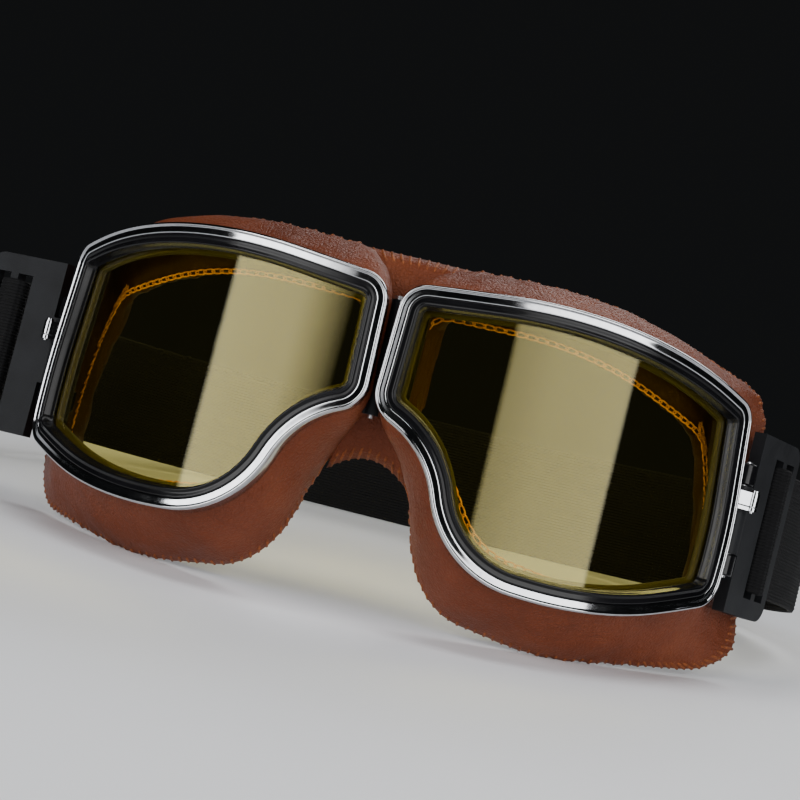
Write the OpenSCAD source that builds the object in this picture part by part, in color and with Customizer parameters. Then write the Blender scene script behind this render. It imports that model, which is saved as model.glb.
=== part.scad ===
// Folding leather motorcycle goggles: two rimmed lenses on a nose hinge, a padded
// leather mask, swinging strap brackets and an elastic strap. Millimetres.
// X runs across the wearer's face, -Y is the way the lenses look, Z is up.

/* [Lens outline] */
// radius of the curve both lenses are bent to
lens_r = 89; // [75:1:110]
// lens outline length measured round the curve, nose to temple
lens_s = 96; // [80:1:110]
// gap between the two rims at the nose
nose_gap = 2.2; // [1.6:0.2:6]

/* [Rim and frame] */
// depth of the metal rim, front to back
rim_d = 5; // [3:0.5:8]
// width of the rim's front lip
rim_lip = 2.6; // [1.5:0.1:4]
// metal thickness of the rim
rim_t = 1.2; // [0.8:0.1:2]
// depth of the black frame, front to back
frame_d = 8; // [6:0.5:12]
// width of the black frame ring
frame_w = 4.3; // [3:0.1:6]
// lens thickness
lens_t = 1.6; // [1:0.1:3]

/* [Mask] */
// depth of the leather mask at the nose, from the lens front
mask_d = 24; // [16:1:32]
// how far the cheek skirt stands out below the rim
skirt = 10.5; // [6:0.5:16]
// leather thickness
leather_t = 1.3; // [0.8:0.1:2]
// foam pad thickness
pad_t = 6; // [4:0.5:9]

/* [Brackets] */
// height of a strap bracket
bracket_h = 42; // [36:1:50]
// reach of a strap bracket from its pivot
bracket_l = 25.2; // [20:0.2:32]
// thickness of a strap bracket
bracket_t = 3; // [2:0.5:4]
// how far the left bracket stands out from straight across
bracket_left_deg = 22; // [13:1:72]
// how far the right bracket stands back from straight across
bracket_right_deg = 68; // [13:1:72]

/* [Strap] */
// strap width
strap_w = 30; // [20:1:40]
// strap thickness
strap_t = 1.6; // [1:0.1:2.5]
// distance from the nose hinge to the back of the strap loop
loop_y = 178; // [150:1:200]

/* [Stance] */
// lean of the goggles when set down on cheeks and strap
lean = 9.83; // [0:0.01:20]
// height of the nose hinge's middle line above the floor
lift = 49.74; // [40:0.01:70]
// sideways shift that puts the middle of the whole object over the origin
shift_x = 12.96; // [-20:0.01:20]
// front to back shift that puts the middle of the whole object over the origin
shift_y = -84.41; // [-120:0.01:20]

/* [Hidden] */
$fn = 48;
f0 = -4;                                          // lens curve starts this far past the nose
deg = 180 / PI / lens_r;                          // degrees of curve per millimetre
ax = nose_gap / 2 - lens_r * sin(f0);             // lens curve axis
ay = lens_r - 6.2;
hinge_y = 3.2;                                    // nose hinge axis behind the lens front
hinge_z0 = -3.6;
hinge_z1 = 22.6;
pivot = [81.6, 40.6];                             // bracket pivot, right-hand side
slot_h = strap_w + 3;
bracket_z = -4.5;                                 // middle height of bracket and strap
k = lens_s / 96;
lens_d = 3.4;                                     // lens front behind the rim front

// lens corners: distance round the curve, height, rounding radius (negative = hollow)
rim_pts = [
  [0.2, 26, 6.6], [54 * k, 32, 148], [92 * k, 20.5, 6], [96 * k, -9, 92],
  [95 * k, -25, 8], [59 * k, -36, 106], [23 * k, -34, 25], [13.5 * k, -9, -23], [-0.6, -2.6, 7.6]
];
arc_n = [6, 9, 6, 8, 6, 8, 8, 8, 6];              // points on each rounded corner
line_n = [2, 1, 0, 0, 1, 0, 0, 0, 0];             // points on the straight after each corner
// how each corner of the mask moves out between the rim and the face edge
flare = [
  [8, 8.5], [1, 3.4], [27, 5], [30, 0], [28, -13], [2, -skirt], [-3, 2.5 - skirt], [-1.5, -12], [6.8, -6.4]
];

round_out = [0, 0, 6, 0, 14, 0, 0, 0, 0];         // how much rounder each corner gets by the face edge

function unit(v) = v / norm(v);
function wrap(i) = (i + len(rim_pts)) % len(rim_pts);
function xy(p) = [p[0], p[1]];
function inward(a, b) = let (d = unit(b - a)) [d[1], -d[0]];
// corner i of outline c moved inwards by off
function inset(c, i, off) =
  let (p = xy(c[i]), n1 = inward(xy(c[wrap(i - 1)]), p), n2 = inward(p, xy(c[wrap(i + 1)])))
  p + off * (n1 + n2) / (1 + n1 * n2);
// corner i of the inset corners q rounded off, as a list of points
function rounded(c, q, i, off) =
  let (
    p = q[i], u = unit(q[wrap(i - 1)] - p), v = unit(q[wrap(i + 1)] - p),
    h = acos(u * v) / 2, r = max(2.5, abs(c[i][2]) - sign(c[i][2]) * off),
    m = p + unit(u + v) * r / sin(h), w = 90 - h,
    mid = atan2(-(u + v)[1], -(u + v)[0]), turn = sign(c[i][2]) * -1)
  [for (j = [0:arc_n[i] - 1])
    let (a = mid + turn * (-w + 2 * w * j / (arc_n[i] - 1))) m + r * [cos(a), sin(a)]];
// the inset outline as a list of points: each rounded corner, then the straight after it
function outline(c, off) =
  let (
    q = [for (i = [0:len(c) - 1]) inset(c, i, off)],
    arcs = [for (i = [0:len(c) - 1]) rounded(c, q, i, off)])
  [for (i = [0:len(c) - 1])
    let (a = arcs[i][arc_n[i] - 1], b = arcs[wrap(i + 1)][0])
    each concat(arcs[i], [for (n = [1:1:line_n[i]]) a + (b - a) * n / (line_n[i] + 1)])];

// point on the lens curve: s round the curve, z up, d behind the lens front
function on_curve(s, z, d) =
  let (f = f0 + s * deg, r = lens_r - d) [ax + r * sin(f), ay - r * cos(f), z];
// depth of the mask's face edge, less deep towards the temple
function face_d(s) = mask_d - 15 * pow(max(s, 0) / 126, 2);
// mask outline at t, 0 under the rim to 1 at the face; it goes straight back past the frame first
function mask_pts(t) = let (u = max(0, (t - 0.08) / 0.92)) [for (i = [0:len(rim_pts) - 1])
  [rim_pts[i][0] + u * flare[i][0], rim_pts[i][1] + u * flare[i][1], rim_pts[i][2] + u * round_out[i]]];
function lay(pts, d) = [for (p = pts) on_curve(p[0], p[1], d)];
function lay_mask(pts, t, more) =
  [for (p = pts) on_curve(p[0], p[1], rim_d + 0.1 + t * (face_d(p[0]) - rim_d - 0.1) + more)];

// closed ring skinned over a list of loops that all have the same number of points
module ring(loops) {
  n = len(loops[0]);
  m = len(loops);
  polyhedron(
    points = [for (l = loops) for (p = l) p],
    faces = [for (a = [0:m - 1]) for (i = [0:n - 1])
      let (b = (a + 1) % m, j = (i + 1) % n)
      for (t = [0, 1])
        t == 0 ? [a * n + i, a * n + j, b * n + j] : [a * n + i, b * n + j, b * n + i]]);
}

module placed() {
  translate([shift_x, shift_y, lift]) rotate([-lean, 0, 0]) children();
}
module side(left) {
  if (left) mirror([1, 0, 0]) children(); else children();
}
// depth of the frame's back edge, less deep beside the nose
function back_d(s) = frame_d - 1.6 * min(1, max(0, (70 - s) / 40));
function lay_back(pts, more) = [for (p = pts) on_curve(p[0], p[1], back_d(p[0]) + more)];
// slab of the lens outline between two depths, its faces true cylinders
module lens_slab(off, d0, d1) {
  fm = f0 + lens_s * deg / 2;
  pts = outline(rim_pts, off);
  translate([ax, ay, 0]) rotate([0, 0, fm]) intersection() {
    rotate([90, 0, 0]) linear_extrude(height = lens_r + 5)
      polygon([for (p = pts) [(lens_r - (d0 + d1) / 2) * sin(f0 + p[0] * deg - fm), p[1]]]);
    difference() {
      cylinder(h = 120, r = lens_r - d0, center = true, $fn = 96);
      cylinder(h = 121, r = lens_r - d1, center = true, $fn = 96);
    }
  }
}

/* ---- metal rims ---- */
barrel = on_curve(lens_s + 3.2, 0, -0.7);
module rim_body() {
  difference() {
    ring([
      lay(outline(rim_pts, 0), 0.5), lay(outline(rim_pts, 0.5), 0),
      lay(outline(rim_pts, rim_lip), 0), lay(outline(rim_pts, rim_lip), 0.9),
      lay(outline(rim_pts, rim_t), 0.9), lay(outline(rim_pts, rim_t), rim_d),
      lay(outline(rim_pts, 0), rim_d)]);
    translate([barrel[0] - 9, barrel[1] - 8, -1.3]) cube([13, 13, 0.3]);
  }
}
// closing barrel, brazed to the rim by a tab and split where the rim is split
module clasp_body() {
  for (part = [[-2.1, 0.8], [-1, 3.1]])
    translate([barrel[0], barrel[1], part[0]]) difference() {
      union() {
        cylinder(h = part[1], r = 1.15);
        rotate([0, 0, f0 + (lens_s + 3) * deg + 148])
          translate([0.8, -0.55, 0]) cube([4.3, 1.1, part[1]]);
      }
      translate([0, 0, -1]) cylinder(h = part[1] + 2, r = 0.52);
    }
}
module screw_body() {
  translate([barrel[0], barrel[1], -2.5]) cylinder(h = 4.65, r = 0.5);
  translate([barrel[0], barrel[1], 2.1]) cylinder(h = 0.6, r = 0.95);
}

/* ---- black frames, lenses, seals ---- */
lug_z = 8.1;
module lug(z0) {
  translate([pivot[0], pivot[1], z0]) {
    cylinder(h = 5, r = 2.4);
    rotate([0, 0, 205]) translate([0, -1.2, 0]) cube([8.4, 2.4, 5]);
  }
}
module frame_ring() {
  f1 = rim_t + 0.05;
  f2 = rim_t + frame_w;
  difference() {
    union() {
      ring([
        lay(outline(rim_pts, f1), 0.95), lay(outline(rim_pts, rim_lip + 0.05), 0.95),
        lay(outline(rim_pts, rim_lip + 0.05), 0.3), lay(outline(rim_pts, rim_lip + 0.7), 0.3),
        lay(outline(rim_pts, f2), 2.6), lay(outline(rim_pts, f2), 3.2),
        lay(outline(rim_pts, f2 - 1.8), 3.2), lay_back(outline(rim_pts, f2 - 1.8), 0),
        lay_back(outline(rim_pts, f1), 0)]);
      lug(bracket_z + lug_z);
      lug(bracket_z - lug_z - 5);
    }
    translate([pivot[0], pivot[1], -40]) cylinder(h = 60, r = 1.05);
  }
}
module lens_body() {
  lens_slab(rim_t + frame_w - 1.1, lens_d, lens_d + lens_t);
}
module seal_ring() {
  a = rim_t + frame_w - 1.75;
  b = rim_t + frame_w + 0.9;
  d = lens_d + lens_t + 0.05;
  ring([lay(outline(rim_pts, a), d), lay(outline(rim_pts, b), d),
    lay(outline(rim_pts, b), d + 1.2), lay(outline(rim_pts, a), d + 1.2)]);
}

/* ---- mask and pads ---- */
mask_t = [0, 0.08, 0.24, 0.52, 0.78, 1];
module mask_half() {
  difference() {
    ring(concat(
      [for (t = mask_t) lay_mask(outline(mask_pts(t), 0), t, 0)],
      [for (i = [len(mask_t) - 1:-1:0])
        lay_mask(outline(mask_pts(mask_t[i]), leather_t - 0.1), mask_t[i], 0)]));
    translate([-2, hinge_y - 2.4, hinge_z0 - 0.6]) cube([12, 5, hinge_z1 - hinge_z0 + 1.2]);
    for (z = [bracket_z + lug_z, bracket_z - lug_z - 5])
      translate([pivot[0], pivot[1], z - 0.4]) {
        rotate([0, 0, 205]) translate([0, -1.6, 0]) cube([9, 3.2, 5.8]);
        cylinder(h = 5.8, r = 2.8);
      }
    translate([pivot[0], pivot[1], bracket_z - bracket_h / 2 - 1])
      cylinder(h = bracket_h + 2, r = 2.9);
  }
}
module pad_half() {
  o = leather_t + 0.1;
  ring([
    lay_mask(outline(mask_pts(1), o + 1), 1, 1.2), lay_mask(outline(mask_pts(1), o), 1, 0),
    lay_mask(outline(mask_pts(0.8), o + 0.1), 0.8, 0),
    lay_mask(outline(mask_pts(0.8), o + pad_t + 1), 0.8, 0),
    lay_mask(outline(mask_pts(1), o + pad_t + 3), 1, -1),
    lay_mask(outline(mask_pts(1), o + pad_t + 1.5), 1, 1.2)]);
}

/* ---- nose hinge ---- */
knuckle_h = (hinge_z1 - hinge_z0 - 0.4) / 3;
module leaf(z0, h) {
  difference() {
    union() {
      translate([0, hinge_y, z0]) cylinder(h = h, r = 1.5);
      translate([0, hinge_y - 0.5, z0]) cube([3, 1, h]);
    }
    translate([0, hinge_y, z0 - 1]) cylinder(h = h + 2, r = 0.75);
  }
}
module leaf_plate() {
  translate([2, hinge_y - 0.5, hinge_z0]) cube([5.5, 1, hinge_z1 - hinge_z0]);
}
module leaf_a() {
  mirror([1, 0, 0]) {
    leaf(hinge_z0, knuckle_h);
    leaf(hinge_z1 - knuckle_h, knuckle_h);
    leaf_plate();
  }
}
module leaf_b() {
  leaf(hinge_z0 + knuckle_h + 0.2, knuckle_h);
  leaf_plate();
}
module pin_body() {
  translate([0, hinge_y, hinge_z0 - 0.8]) cylinder(h = hinge_z1 - hinge_z0 + 0.8, r = 0.72);
  translate([0, hinge_y, hinge_z1]) cylinder(h = 0.8, r = 1.4);
}

/* ---- leather and foam over the nose ---- */
// band between the two masks: side is half its outline as points (x, z) at its front face,
// and it grows wider towards its back face as the masks do
module nose_band(y0, y1, side, wider, z_arch) {
  translate([0, y1, 0]) rotate([90, 0, 0])
    linear_extrude(height = y1 - y0, scale = [1 / wider, 1]) scale([wider, 1]) difference() {
      polygon(concat(side, [for (i = [len(side) - 1:-1:0]) [-side[i][0], side[i][1]]]));
      translate([0, z_arch - 12]) circle(r = 12);
    }
}

/* ---- strap brackets ---- */
module bracket_body() {
  h2 = bracket_h / 2;
  difference() {
    union() {
      rotate([90, 0, 0]) linear_extrude(height = bracket_t, center = true) difference() {
        union() {
          translate([2.9, -h2]) square([bracket_l - 6.9, bracket_h]);
          translate([0, -lug_z + 0.2]) square([4, 2 * lug_z - 0.4]);
          translate([bracket_l - 4, 4 - h2]) square([4, bracket_h - 8]);
          for (z = [4 - h2, h2 - 4]) translate([bracket_l - 4, z]) circle(r = 4);
        }
        translate([11.8, -slot_h / 2]) square([4.4, slot_h]);
        translate([18.4, -slot_h / 2]) square([4.2, slot_h]);
      }
      translate([0, 0, -lug_z + 0.2]) cylinder(h = 2 * lug_z - 0.4, r = 2.4);
    }
    translate([0, 0, -h2]) cylinder(h = bracket_h, r = 1.05);
  }
}
module bracket_at(a) {
  translate([pivot[0], pivot[1], bracket_z]) rotate([0, 0, a]) children();
}
module bracket_pin_body() {
  translate([pivot[0], pivot[1], bracket_z - lug_z - 5.4])
    cylinder(h = 2 * lug_z + 10.8, r = 1);
}

/* ---- strap ---- */
// middle bar of a bracket, where the strap end loops round
function bar_at(a, l) = [pivot[0] + l * cos(a), pivot[1] + l * sin(a)];
function mirror_x(p) = [-p[0], p[1]];
// smooth curve through four control points
function bez(p, t) = pow(1 - t, 3) * p[0] + 3 * t * pow(1 - t, 2) * p[1]
  + 3 * t * t * (1 - t) * p[2] + pow(t, 3) * p[3];
function path(p, n) = [for (i = [0:n]) bez(p, i / n)];
function tangent(q, i) =
  unit(q[min(i + 1, len(q) - 1)] - q[max(i - 1, 0)]);
function shifted(q, w) = [for (i = [0:len(q) - 1])
  q[i] + w * [-tangent(q, i)[1], tangent(q, i)[0]]];
function reversed(q) = [for (i = [len(q) - 1:-1:0]) q[i]];
module band(q, t = strap_t, h = strap_w) {
  translate([0, 0, bracket_z - h / 2]) linear_extrude(height = h)
    polygon(concat(shifted(q, t / 2), reversed(shifted(q, -t / 2))));
}
// the folded end: round the middle bar and out behind the outer bar
tail_x = bracket_l + 2;
module strap_loop() {
  translate([0, 0, -strap_w / 2]) linear_extrude(height = strap_w) difference() {
    union() {
      translate([17.3, 0]) circle(r = 3.5);
      translate([17.3, 1.9]) square([tail_x - 17.3, strap_t]);
    }
    translate([17.3, 0]) circle(r = 1.9);
  }
}
// where a strap end leaves its bracket, and a point further out the same way
function tail(a, more) =
  bar_at(a, tail_x + more) + (1.9 + strap_t / 2) * [-sin(a), cos(a)];
straight_a = [-121, 92];
straight_b = [-103, 137];
along = unit(straight_b - straight_a);
module front_left_band() {
  band(path([mirror_x(tail(bracket_left_deg, 0.3)), mirror_x(tail(bracket_left_deg, 14)),
    straight_a - 22 * along, straight_a - 0.3 * along], 14));
}
module back_band() {
  band(concat([straight_a, (straight_a + straight_b) / 2],
    path([straight_b, straight_b + 38 * along, [-50, loop_y], [0, loop_y]], 14)));
}
module side_band() {
  band(path([[0.3, loop_y], [52, loop_y], [98, 150], [98, 108.3]], 14));
}
module front_right_band() {
  band(path([[98, 108], [98, 94], tail(bracket_right_deg, 12), tail(bracket_right_deg, 0.3)], 8));
}
// three-bar adjuster the strap runs through
slider_h = strap_w + 5;
module slider_shape() {
  difference() {
    translate([-8, -slider_h / 2, -2.6]) cube([16, slider_h, 5.2]);
    translate([-9, -strap_w / 2 - 0.5, -1.1]) cube([18, strap_w + 1, 2.2]);
    for (x = [-5.8, 1.3]) translate([x, -strap_w / 2 - 0.5, 0]) cube([4.5, strap_w + 1, 4]);
  }
}
module slider_at() {
  m = (straight_a + straight_b) / 2;
  translate([m[0], m[1], bracket_z]) rotate([0, 0, atan2(along[1], along[0])])
    rotate([-90, 0, 0]) children();
}

/* ---- the pieces ---- */
module rim_left() {
  color([0.82, 0.83, 0.85]) placed() side(true) rim_body();
}
module rim_clasp_left() {
  color([0.82, 0.83, 0.85]) placed() side(true) clasp_body();
}
module rim_screw_left() {
  color([0.82, 0.83, 0.85]) placed() side(true) screw_body();
}
module frame_left() {
  color([0.06, 0.06, 0.07]) placed() side(true) frame_ring();
}
module lens_left() {
  color([0.75, 0.65, 0.2]) placed() side(true) lens_body();
}
module lens_seal_left() {
  color([0.06, 0.06, 0.07]) placed() side(true) seal_ring();
}
module mask_left() {
  color([0.5, 0.24, 0.15]) placed() side(true) mask_half();
}
module pad_left() {
  color([0.36, 0.18, 0.12]) placed() side(true) pad_half();
}
module rim_right() {
  color([0.82, 0.83, 0.85]) placed() side(false) rim_body();
}
module rim_clasp_right() {
  color([0.82, 0.83, 0.85]) placed() side(false) clasp_body();
}
module rim_screw_right() {
  color([0.82, 0.83, 0.85]) placed() side(false) screw_body();
}
module frame_right() {
  color([0.06, 0.06, 0.07]) placed() side(false) frame_ring();
}
module lens_right() {
  color([0.75, 0.65, 0.2]) placed() side(false) lens_body();
}
module lens_seal_right() {
  color([0.06, 0.06, 0.07]) placed() side(false) seal_ring();
}
module mask_right() {
  color([0.5, 0.24, 0.15]) placed() side(false) mask_half();
}
module pad_right() {
  color([0.36, 0.18, 0.12]) placed() side(false) pad_half();
}
module mask_bridge() {
  color([0.5, 0.24, 0.15]) placed()
    nose_band(8.2, 9.8, [[4.1, -15], [4.1, 18], [4.7, 26.5], [7, 31], [7, 33.5]], 1.1, -13);
}
module pad_bridge() {
  color([0.36, 0.18, 0.12]) placed()
    nose_band(13.5, 18.5, [[6, -17], [6, 18], [6.6, 28]], 1.16, -15);
}
module hinge_leaf_left() {
  color([0.13, 0.13, 0.14]) placed() leaf_a();
}
module hinge_leaf_right() {
  color([0.13, 0.13, 0.14]) placed() leaf_b();
}
module hinge_pin() {
  color([0.82, 0.83, 0.85]) placed() pin_body();
}
module bracket_left() {
  color([0.13, 0.13, 0.14]) placed() side(true) bracket_at(bracket_left_deg) bracket_body();
}
module bracket_pin_left() {
  color([0.82, 0.83, 0.85]) placed() side(true) bracket_pin_body();
}
module strap_end_left() {
  color([0.04, 0.04, 0.04]) placed() side(true) bracket_at(bracket_left_deg) strap_loop();
}
module bracket_right() {
  color([0.13, 0.13, 0.14]) placed() side(false) bracket_at(bracket_right_deg) bracket_body();
}
module bracket_pin_right() {
  color([0.82, 0.83, 0.85]) placed() side(false) bracket_pin_body();
}
module strap_end_right() {
  color([0.04, 0.04, 0.04]) placed() side(false) bracket_at(bracket_right_deg) strap_loop();
}
module strap_front_left() {
  color([0.04, 0.04, 0.04]) placed() front_left_band();
}
module strap_front_right() {
  color([0.04, 0.04, 0.04]) placed() front_right_band();
}
module strap_back() {
  color([0.04, 0.04, 0.04]) placed() back_band();
}
module strap_side() {
  color([0.04, 0.04, 0.04]) placed() side_band();
}
module strap_slider() {
  color([0.06, 0.06, 0.07]) placed() slider_at() slider_shape();
}

// part to show, or all of them

rim_left();
rim_clasp_left();
rim_screw_left();
frame_left();
lens_left();
lens_seal_left();
mask_left();
pad_left();
rim_right();
rim_clasp_right();
rim_screw_right();
frame_right();
lens_right();
lens_seal_right();
mask_right();
pad_right();
mask_bridge();
pad_bridge();
hinge_leaf_left();
hinge_leaf_right();
hinge_pin();
bracket_left();
bracket_pin_left();
strap_end_left();
bracket_right();
bracket_pin_right();
strap_end_right();
strap_front_left();
strap_front_right();
strap_back();
strap_side();
strap_slider();
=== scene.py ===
import math

import bmesh
import bpy
import numpy as np
from mathutils import Matrix, Vector, kdtree, noise


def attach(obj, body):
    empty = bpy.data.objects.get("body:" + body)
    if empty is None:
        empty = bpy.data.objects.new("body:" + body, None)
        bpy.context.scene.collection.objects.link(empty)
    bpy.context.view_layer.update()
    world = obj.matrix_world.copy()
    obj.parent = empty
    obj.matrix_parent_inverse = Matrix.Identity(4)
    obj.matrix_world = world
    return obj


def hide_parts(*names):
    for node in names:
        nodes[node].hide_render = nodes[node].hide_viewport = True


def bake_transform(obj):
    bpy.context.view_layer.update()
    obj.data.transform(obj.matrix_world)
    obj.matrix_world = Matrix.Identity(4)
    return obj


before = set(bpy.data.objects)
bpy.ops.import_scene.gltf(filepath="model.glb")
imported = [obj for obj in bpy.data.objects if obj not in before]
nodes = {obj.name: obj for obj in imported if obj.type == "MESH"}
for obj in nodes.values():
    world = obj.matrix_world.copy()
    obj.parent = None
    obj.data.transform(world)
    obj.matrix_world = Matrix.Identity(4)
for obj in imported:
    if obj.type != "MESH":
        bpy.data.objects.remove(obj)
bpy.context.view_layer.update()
MM = 0.001

# ---------------------------------------------------------------- the design, as in part.scad
# lens curve: radius, gap between the rims, angle where a rim starts, and the axis it curves about
LENS_R, GAP, START_DEG = 89.0, 2.2, -4.0
DEG_PER_MM = 180 / math.pi / LENS_R
AXIS_X = GAP / 2 - LENS_R * math.sin(math.radians(START_DEG))
AXIS_Y = LENS_R - 6.2
RIM_D, RIM_T, FRAME_W, LENS_D, LENS_T = 5.0, 1.2, 4.3, 3.4, 1.6
MASK_D, SKIRT = 24.0, 10.5
# brackets: pin of the right-hand one, length, middle height, and how far each is turned
PIVOT = np.array([81.6, 40.6])
BRACKET_L, BRACKET_Z = 25.2, -4.5
LEFT_DEG, RIGHT_DEG = 22.0, 68.0
STRAP_W, STRAP_T, LOOP_Y = 30.0, 1.6, 178.0
# how the goggles lean back on their lower edge, and where the design origin then lies
LEAN, LIFT, SHIFT_X, SHIFT_Y = math.radians(9.83), 49.74, 12.96, -84.41
# corners of the rim as (s, z, radius); a negative radius is a hollow corner
RIM = [(0.2, 26, 6.6), (54, 32, 148), (92, 20.5, 6), (96, -9, 92), (95, -25, 8), (59, -36, 106),
       (23, -34, 25), (13.5, -9, -23), (-0.6, -2.6, 7.6)]
# how far each corner moves by the face edge of the mask
FLARE = [(8, 8.5), (1, 3.4), (27, 5), (30, 0), (28, -13), (2, -SKIRT), (-3, 2.5 - SKIRT), (-1.5, -12),
         (6.8, -6.4)]
# how much rounder each corner gets by the face edge
ROUND_OUT = [0, 0, 6, 0, 14, 0, 0, 0, 0]
# points on each corner and on the side that follows it
ARC_N = [10, 22, 10, 16, 12, 20, 16, 14, 12]
SEG_N = [14, 14, 12, 8, 12, 12, 8, 6, 10]


def to_row(p):
    """Design millimetres to metres in the row frame."""
    p = np.asarray(p, float)
    c, s = math.cos(LEAN), math.sin(LEAN)
    return np.stack([p[..., 0] + SHIFT_X, p[..., 1] * c + p[..., 2] * s + SHIFT_Y,
                     -p[..., 1] * s + p[..., 2] * c + LIFT], -1) * MM


def unit(v):
    return v / np.linalg.norm(v)


def outline(corners, off):
    """Rounded outline moved inwards by off, as points (s, z). The count never depends on off."""
    c = [np.array(p[:2], float) for p in corners]
    n = len(c)
    q = []
    for i in range(n):
        d1, d2 = unit(c[i] - c[i - 1]), unit(c[(i + 1) % n] - c[i])
        n1, n2 = np.array([d1[1], -d1[0]]), np.array([d2[1], -d2[0]])
        q.append(c[i] + off * (n1 + n2) / (1 + n1 @ n2))
    arcs = []
    for i in range(n):
        p, u, v = q[i], unit(q[i - 1] - q[i]), unit(q[(i + 1) % n] - q[i])
        h = math.acos(np.clip(u @ v, -1, 1)) / 2
        sign = math.copysign(1, corners[i][2])
        r = max(1.2, abs(corners[i][2]) - sign * off)
        m = p + unit(u + v) * r / math.sin(h)
        w = math.pi / 2 - h
        mid = math.atan2(-(u + v)[1], -(u + v)[0])
        a = mid - sign * np.linspace(-w, w, ARC_N[i])
        arcs.append(m + r * np.stack([np.cos(a), np.sin(a)], 1))
    out = []
    for i in range(n):
        out.append(arcs[i])
        a, b = arcs[i][-1], arcs[(i + 1) % n][0]
        t = np.linspace(0, 1, SEG_N[i] + 2)[1:-1, None]
        out.append(a + (b - a) * t)
    return np.concatenate(out)


def on_curve(sz, d):
    """Points on the lens curve: s round it, z up, d behind the lens front."""
    sz = np.asarray(sz, float)
    f = np.radians(START_DEG + sz[..., 0] * DEG_PER_MM)
    r = LENS_R - d
    return np.stack([AXIS_X + r * np.sin(f), AXIS_Y - r * np.cos(f), sz[..., 1]], -1)


STRAIGHT = 0.08  # the part of its depth over which the mask goes straight back from the rim


def mask_corners(t):
    """Corners of the mask, from the rim at t = 0 to the face edge at t = 1."""
    u = max(0.0, (t - STRAIGHT) / (1 - STRAIGHT))
    return [(p[0] + u * q[0], p[1] + u * q[1], p[2] + u * r)
            for p, q, r in zip(RIM, FLARE, ROUND_OUT)]


def towards_temple(s, start, width):
    """0 before start and 1 from start + width on, s being the way round the lens curve."""
    return np.clip((s - start) / width, 0, 1)


def face_d(s):
    """Depth of the face edge behind the lens front: less towards the temple."""
    return MASK_D - 15 * (np.maximum(s, 0) / 126) ** 2


# millimetres by which the lower temple corner of the leather stands out, set for each mask in turn
SPREAD = [0.0]


def mask_loop(t, off, more=0.0):
    """Loop round the mask at t, moved inwards by off and backwards by more."""
    o = outline(mask_corners(t), off)
    low = np.clip((-20 - o[:, 1]) / 14, 0, 1)
    spread = SPREAD[0] * t * towards_temple(o[:, 0], 70, 50) ** 2 * low
    return on_curve(o, RIM_D + 0.1 + t * (face_d(o[:, 0]) - RIM_D - 0.1) + more - spread)


# ---------------------------------------------------------------- mesh helpers
def make(name, verts, faces, mat, sharp=None):
    """A smooth-shaded mesh object in the row frame from design points."""
    me = bpy.data.meshes.new(name)
    me.from_pydata([tuple(v) for v in to_row(verts)], [], [tuple(f) for f in faces])
    me.validate()
    o = bpy.data.objects.new(name, me)
    bpy.context.scene.collection.objects.link(o)
    me.polygons.foreach_set("use_smooth", [True] * len(me.polygons))
    if sharp is not None:
        me.set_sharp_from_angle(angle=math.radians(sharp))
    me.materials.append(mat)
    return o


def mirrored(v, left):
    """The points as they are, or flipped to the other side for the left half."""
    v = np.array(v, float)
    if left:
        v[..., 0] *= -1
    return v


def sweep(name, loops, mat, left):
    """Skin over loops that all have the same number of points, the last joined to the first."""
    m, n = len(loops), len(loops[0])
    verts = mirrored(np.concatenate(loops), left)
    faces = []
    for a in range(m):
        b = (a + 1) % m
        for i in range(n):
            j = (i + 1) % n
            f = (a * n + i, a * n + j, b * n + j, b * n + i)
            faces.append(f[::-1] if left else f)
    return make(name, verts, faces, mat)


def tube_faces(rows, n):
    """Quads between rows of n points each, and a cap at both ends."""
    faces = [(a * n + i, a * n + (i + 1) % n, (a + 1) * n + (i + 1) % n, (a + 1) * n + i)
             for a in range(rows - 1) for i in range(n)]
    last = (rows - 1) * n
    return faces + [tuple(range(n))[::-1], tuple(last + i for i in range(n))]


def round_edges(o, width, segments):
    """Small rounds, width in millimetres, on every edge sharper than 40 degrees."""
    b = o.modifiers.new("edge", "BEVEL")
    b.width, b.segments, b.limit_method, b.angle_limit = width * MM, segments, "ANGLE", math.radians(40)
    return b


def fix_normals(o):
    """Turn every face of a closed mesh outwards."""
    bm = bmesh.new()
    bm.from_mesh(o.data)
    bmesh.ops.recalc_face_normals(bm, faces=bm.faces)
    bm.to_mesh(o.data)
    bm.free()
    return o


# ---------------------------------------------------------------- materials
def material(name):
    """A new material, its node tree and its principled shader."""
    m = bpy.data.materials.new(name)
    m.use_nodes = True
    nt = m.node_tree
    return m, nt, nt.nodes["Principled BSDF"]


def ramp(nt, source, stops):
    """Colour ramp over source; stops are (position, colour)."""
    r = nt.nodes.new("ShaderNodeValToRGB")
    while len(r.color_ramp.elements) < len(stops):
        r.color_ramp.elements.new(0.5)
    for e, (pos, col) in zip(r.color_ramp.elements, stops):
        e.position = pos
        e.color = col if len(col) == 4 else (*col, 1)
    nt.links.new(source, r.inputs[0])
    return r.outputs[0]


def texture(nt, kind, scale, detail=2.0, rough=0.5, vector=None, **more):
    """A procedural texture in object metres, or over vector; more sets its options or inputs by name."""
    n = nt.nodes.new(kind)
    n.inputs["Scale"].default_value = scale
    if "Detail" in n.inputs:
        n.inputs["Detail"].default_value = detail
    if "Roughness" in n.inputs:
        n.inputs["Roughness"].default_value = rough
    for k, v in more.items():
        if hasattr(n, k):
            setattr(n, k, v)
        else:
            n.inputs[k].default_value = v
    if vector is None:
        co = nt.nodes.new("ShaderNodeTexCoord")
        vector = co.outputs["Object"]
    nt.links.new(vector, n.inputs["Vector"])
    return n


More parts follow.
